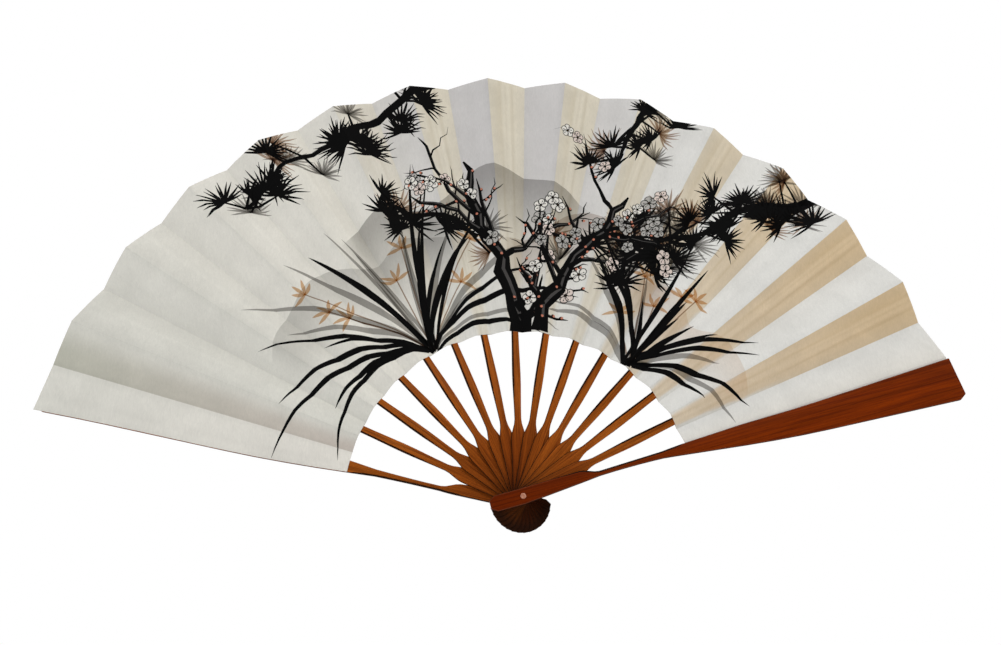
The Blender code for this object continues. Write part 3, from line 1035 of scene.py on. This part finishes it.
LEFT_GREY = (0.61, 0.60, 0.545)
LEFT_WHITE = (0.665, 0.645, 0.585)
# Painted shade on the paper in the middle of the leaf, growing toward the rim
MIDDLE_SHADE = (0.52, 0.505, 0.495)
MIDDLE_WHITE = (0.63, 0.62, 0.575)
RIGHT_WHITE = (0.645, 0.64, 0.61)
END_WHITE = (0.66, 0.635, 0.58)
# Cream is the paper's warm tone where handled or where a splint shows through; on the front of the rib
# panels, cream and tan are a painted warm light
CREAM = (0.60, 0.555, 0.455)
TAN = (0.60, 0.46, 0.29)
# Painted shade on the first free panel
SHADE = (0.43, 0.425, 0.36)
ROSE_SHADE = (0.50, 0.45, 0.40)
BACK_WHITE = (0.635, 0.612, 0.555)
WASH_PAPER = 0.62

# Painted warm shadow lines beside the splint on a rib panel: place and width as shares of the panel,
# and strength
WARM_LINES = ((0.3, 0.05, 1.0), (0.63, 0.045, 0.9), (0.45, 0.03, 0.5))


def outward(radius):
    """How far out on the leaf a place is: 0 at the inner border, 1 at the rim."""
    return (radius - INNER) / (OUTER - INNER)


def darker_near_crease(colour, aside, strength):
    """A colour made darker close to a crease."""
    wear_and_shade = 1.0 - ease(0.0, CREASE_DARKENING, aside)
    return tuple(value * (1.0 - strength * wear_and_shade) for value in colour)


def paper_colour(panel, share, radius):
    """Bare paper: grey at the left, with painted shade in the middle toward the rim and on the first
    free panel; on the rib panels to the right, a painted warm light with painted shadow lines and a
    faint painted highlight beside the splint.
    """
    index = panel["index"]
    place = (index + share) / len(panels)
    out = outward(radius)
    base = blend(LEFT_GREY, LEFT_WHITE, ease(0.08, 0.24, place))
    if index == 0:
        base = blend(END_WHITE, LEFT_GREY, out)
    # Painted shade in the middle, toward the rim
    middle = blend(MIDDLE_WHITE, MIDDLE_SHADE, ease(0.1, 0.7, out))
    base = blend(base, middle, ease(0.3, 0.46, place))
    base = blend(base, RIGHT_WHITE, ease(0.55, 0.72, place))
    base = blend(base, END_WHITE, ease(0.93, 0.98, place))
    if panel["kind"] == "rib":
        # On the rib panels: a painted warm light, with painted shadow lines and a faint painted
        # highlight beside the splint
        toned = blend(CREAM, TAN, ease(0.6, 0.88, place))
        across = ease(0.24, 0.46, place)
        spread = mix(0.36, 0.6, ease(0.0, 0.5, out))
        aside = abs(share - 0.46)
        body = 1.0 - ease(spread - 0.08, spread + 0.03, aside)
        lines = sum(strength * streak(share, middle, wide) for middle, wide, strength in WARM_LINES)
        pale = streak(share, 0.53 + 0.03 * sin(index), 0.06)
        tone = across * body * mix(0.6, 0.95, out) + 0.1 * across
        base = blend(base, toned, min(tone, 1.0))
        # The painted shadow lines darken blue most, so they look warm
        wear_and_shade = (0.10, 0.12, 0.16)
        base = tuple(v * (1.0 - w * lines * across + 0.04 * pale) for v, w in zip(base, wear_and_shade))
    else:
        lines = streak(share, 0.3 + 0.2 * sin(2.0 * index), 0.12)
        base = tuple(value * (1.0 - 0.035 * lines) for value in base)
    # A painted shade band over the first free panel
    if index == 1:
        shade_share = 1.0 - ease(0.25, 1.1, share)
        base = blend(base, blend(ROSE_SHADE, SHADE, out), shade_share)
    return darker_near_crease(base, min(share, 1.0 - share) * panel["width"] * radius, 0.06)


def back_colour(panel, share, radius):
    """The plain back: handled along the rim, darker close to the creases, warm where a splint shows
    through, with painted shade lines beside it.
    """
    out = outward(radius)
    handled = 0.3 * ease(0.75, 1.0, out) + 0.2 * (1.0 - ease(0.0, 0.15, out))
    base = blend(BACK_WHITE, CREAM, handled)
    width = panel["width"] * radius
    if panel["kind"] == "rib":
        aside = abs(share - 0.5) * width - splint_half_width(radius)
        base = blend(base, CREAM, 0.6 * (1.0 - ease(0.0, 2.0 * MM, aside)))
        # Painted shade lines beside the splint
        flank = 1.0 - ease(0.0, 1.8 * MM, abs(aside - 1.0 * MM))
        base = tuple(value * (1.0 - 0.1 * flank) for value in base)
    return darker_near_crease(base, min(share, 1.0 - share) * width, 0.08)


def colour_at(panel, flat, layers):
    """The painted front at a place of the flat sheet: a wash stains it, opaque ink covers it."""
    share, radius = from_flat(panel, flat)
    colour = paper_colour(panel, share, radius)
    for layer in layers:
        item = painting[layer]
        strength = item["strength"]
        if callable(strength):
            strength = strength(flat)
        if strength == 1.0:
            colour = item["colour"]
        else:
            stain = [mix(1.0, min(tint / WASH_PAPER, 1.0), strength) for tint in item["colour"]]
            colour = tuple(value * share for value, share in zip(colour, stain))
    return colour


def in_box(point, layer):
    low, high = painting[layer]["box"]
    return low.x <= point.x <= high.x and low.y <= point.y <= high.y


def winds_round(point, layer):
    """Whether a painted outline winds round a place."""
    item = painting[layer]
    if not in_box(point, layer):
        return False
    winds = 0
    before = item["outline"][-1]
    for corner in item["outline"]:
        rises = corner.y > point.y
        if rises != (before.y > point.y):
            run, rise = corner.x - before.x, corner.y - before.y
            turn = run * (point.y - before.y) - rise * (point.x - before.x)
            if rises == (turn > 0.0):
                winds += 1 if rises else -1
        before = corner
    return winds != 0


def flat_mesh(panel, strokes):
    """Triangles of a panel in the flat sheet, cut along the strokes that cross it."""
    points = [flat_point(panel, share, radius) for share, radius in panel_outline(panel)]
    faces = [list(range(len(points)))]
    if signed_area(points) < 0.0:
        faces[0].reverse()
    low, high = flat_box(points)
    edges = []
    before = (0, 0)
    for row in range(1, GRID_ROWS):
        radius = mix(INNER, OUTER, row / GRID_ROWS)
        if panel["kind"] == "end" and radius > OUTER - END_MARGIN:
            continue
        shares = grid_shares(panel, radius)
        first = len(points)
        points += [flat_point(panel, share, radius) for share in shares]
        if panel["kind"] == "rib" and before[1] == len(shares):
            edges += [(before[0] + column, first + column) for column in range(len(shares))]
        before = (first, len(shares))
    layers = [None]
    for layer, item in enumerate(strokes):
        near, far = item["box"]
        if near.x <= high.x and far.x >= low.x and near.y <= high.y and far.y >= low.y:
            first = len(points)
            points += item["outline"]
            faces.append(list(range(first, len(points))))
            layers.append(layer)
    result = delaunay_2d_cdt(points, edges, faces, INSIDE, FLAT_WELD, True)
    places, sources = result[0], result[5]
    kept = []
    claims = []
    middles = []
    for face, owners in zip(result[2], sources):
        if 0 in owners:
            kept.append(face)
            claims.append({layers[owner] for owner in owners if owner != 0})
            middles.append(sum((places[corner] for corner in face), Vector((0.0, 0.0))) / 3.0)
    # A stroke that claims a triangle outside its box has leaked, so it is asked anew everywhere
    leaked = set()
    for claim, middle in zip(claims, middles):
        leaked.update(layer for layer in claim if not in_box(middle, layer))
    covers = []
    for claim, middle in zip(claims, middles):
        sure = {layer for layer in leaked if winds_round(middle, layer)}
        covers.append(sorted((claim - leaked) | sure))
    used = sorted({corner for face in kept for corner in face})
    number = {corner: place for place, corner in enumerate(used)}
    triangles = [[number[corner] for corner in face] for face in kept]
    return [places[corner] for corner in used], triangles, covers


def make_panel(panel):
    """A panel of the leaf: one sheet, or on a rib panel two layers round the splint."""
    shape = bmesh.new()
    shape.loops.layers.float_color.new("paint")
    flat, triangles, covers = flat_mesh(panel, painting)
    paints = []
    for triangle, cover in zip(triangles, covers):
        paints.append([colour_at(panel, flat[corner], cover) for corner in triangle])

    def rise(*place):
        return PAPER + ridge(panel, *place)

    if panel["kind"] == "rib":
        add_sheet(panel, shape, flat, triangles, paints, rise, lambda *place: rise(*place) - PAPER)
        flat, triangles, covers = flat_mesh(panel, [])
        outer, inner = (lambda *place: PAPER - rise(*place)), (lambda *place: -rise(*place))
        add_sheet(panel, shape, flat, triangles, [[CREAM] * 3] * len(triangles), outer, inner)
    else:
        add_sheet(panel, shape, flat, triangles, paints, rise, lambda *place: -PAPER)
    bmesh.ops.recalc_face_normals(shape, faces=shape.faces)
    piece = make_piece(mesh_of(f"leaf_{panel['node']}", shape), leaf_paper)
    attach(piece, panel["body"])
    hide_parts(panel["node"])


# Rivet

RIVET_LIP = 0.1 * MM


def make_rivet():
    """A turned horn pin with a low dome and a fine lip on each side."""
    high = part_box("rivet")[1]
    head, top = high.x, high.y
    pin = 0.65 * head
    seat = top - 0.3 * head
    steps = 10
    half = []
    for step in range(steps + 1):
        angle = pi / 2.0 * step / steps
        half.append((head * sin(angle), mix(seat + RIVET_LIP, top, cos(angle))))
    half += [(head, seat), (pin, seat)]
    profile = half + [(radius, -place) for radius, place in reversed(half)]
    shape = bmesh.new()
    ring = [shape.verts.new((radius, place, 0.0)) for radius, place in profile]
    edges = [shape.edges.new(pair) for pair in zip(ring, ring[1:])]
    turn = {"cent": (0, 0, 0), "axis": (0, 1, 0), "angle": 2.0 * pi, "steps": 48}
    bmesh.ops.spin(shape, geom=ring + edges, **turn)
    bmesh.ops.remove_doubles(shape, verts=shape.verts, dist=WELD)
    bmesh.ops.recalc_face_normals(shape, faces=shape.faces)
    piece = make_piece(mesh_of("turned_rivet", shape), rivet_horn)
    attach(piece, "back_guard")
    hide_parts("rivet")


# Stage

WHITE = (1.0, 1.0, 1.0)
FLOOR_GREYS = ((0.3, (0.80, 0.80, 0.80)), (0.7, (0.84, 0.84, 0.84)))
FLOOR_DROP = 0.30
FLOOR_SIZE = 1.7
FLOOR_FADE = (0.45, 0.9 * FLOOR_SIZE)
LAMP_AIM = Vector((0.0, 0.0, 0.15))


def background_rays(near):
    """One for the rays that meet the plain background: straight, mirrored or passed through."""
    rays = add_node(near, "LightPath", {}).outputs
    seen = rays["Is Camera Ray"]
    for name in ("Is Glossy Ray", "Is Transmission Ray"):
        seen = combine("MAXIMUM", seen, rays[name])
    return seen


def show_mixed(share, first, kind, output):
    """Mix a surface or background with plain white of its kind, and show that."""
    white = add_node(first, kind, {"Color": (*WHITE, 1.0)}).outputs[0]
    both = add_node(first, "MixShader", {0: share, 1: first.outputs[0], 2: white})
    fill(first.id_data.nodes[output], {"Surface": both.outputs[0]})


def make_floor():
    """A pale floor that takes the shadow and fades into the white background toward its rim."""
    rules = {"vertices": 96, "radius": FLOOR_SIZE, "fill_type": "NGON"}
    bpy.ops.mesh.primitive_circle_add(location=(0.0, 0.0, -FLOOR_DROP), **rules)
    floor = bpy.context.object
    floor.name = "floor"
    material, surface = new_material("floor_pale", 0.9, 0.1)
    place = position(surface)
    fill(surface, {"Base Color": ramp(noise(place, 12.0, 3.0), FLOOR_GREYS)})
    away = add_node(surface, "VectorMath", {0: place})
    away.operation = "LENGTH"
    fade = carry(away.outputs["Value"], *FLOOR_FADE, 0.0, 1.0)
    share = combine("MULTIPLY", fade, background_rays(surface))
    show_mixed(share, surface, "Emission", "Material Output")
    floor.data.materials.append(material)


def make_world():
    """Soft light, stronger from above, with a white background for the rays that meet it."""
    world = bpy.data.worlds.new("studio")
    bpy.context.scene.world = world
    world.use_nodes = True
    light = world.node_tree.nodes["Background"]
    ways = add_node(light, "TexCoord", {}).outputs["Generated"]
    height = add_node(light, "SeparateXYZ", {0: ways}).outputs["Z"]
    strength = carry(height, -0.5, 0.5, 0.16, 0.46)
    fill(light, {"Color": (0.97, 0.98, 1.0, 1.0), "Strength": strength})
    show_mixed(background_rays(light), light, "Background", "World Output")


def add_lamp(name, place, size, power, colour):
    lamp = bpy.data.lights.new(name, "AREA")
    lamp.shape = "DISK"
    lamp.size = size
    lamp.energy = power
    lamp.color = colour
    thing = link_new(name, lamp)
    thing.location = place
    thing.rotation_euler = (LAMP_AIM - thing.location).to_track_quat("-Z", "Y").to_euler()


def make_camera():
    camera = bpy.data.cameras.new("camera")
    camera.lens = CAMERA_LENS
    thing = link_new("camera", camera)
    turn = Matrix.Identity(3)
    for angle, axis in zip(CAMERA_TURN, "XYZ"):
        turn = Matrix.Rotation(angle, 3, axis) @ turn
    upright = Matrix.Rotation(pi / 2.0, 3, "X")
    thing.matrix_world = Matrix.Translation(CAMERA_PLACE) @ (turn.transposed() @ upright).to_4x4()
    bpy.context.scene.camera = thing


for k in range(1, LAST):
    make_rib(k)
make_guard(0, "back_guard")
make_guard(LAST, "front_guard")
for panel in panels:
    make_panel(panel)
make_rivet()
make_floor()
make_world()
add_lamp("key", (0.55, -0.95, 0.95), 0.5, 9.5, (1.0, 0.985, 0.96))
add_lamp("fill", (-1.1, -1.0, 0.1), 0.8, 7.0, (0.97, 0.98, 1.0))
add_lamp("back", (0.2, 1.3, 0.8), 0.9, 12.0, WHITE)
make_camera()
bpy.context.scene.view_settings.view_transform = "Standard"
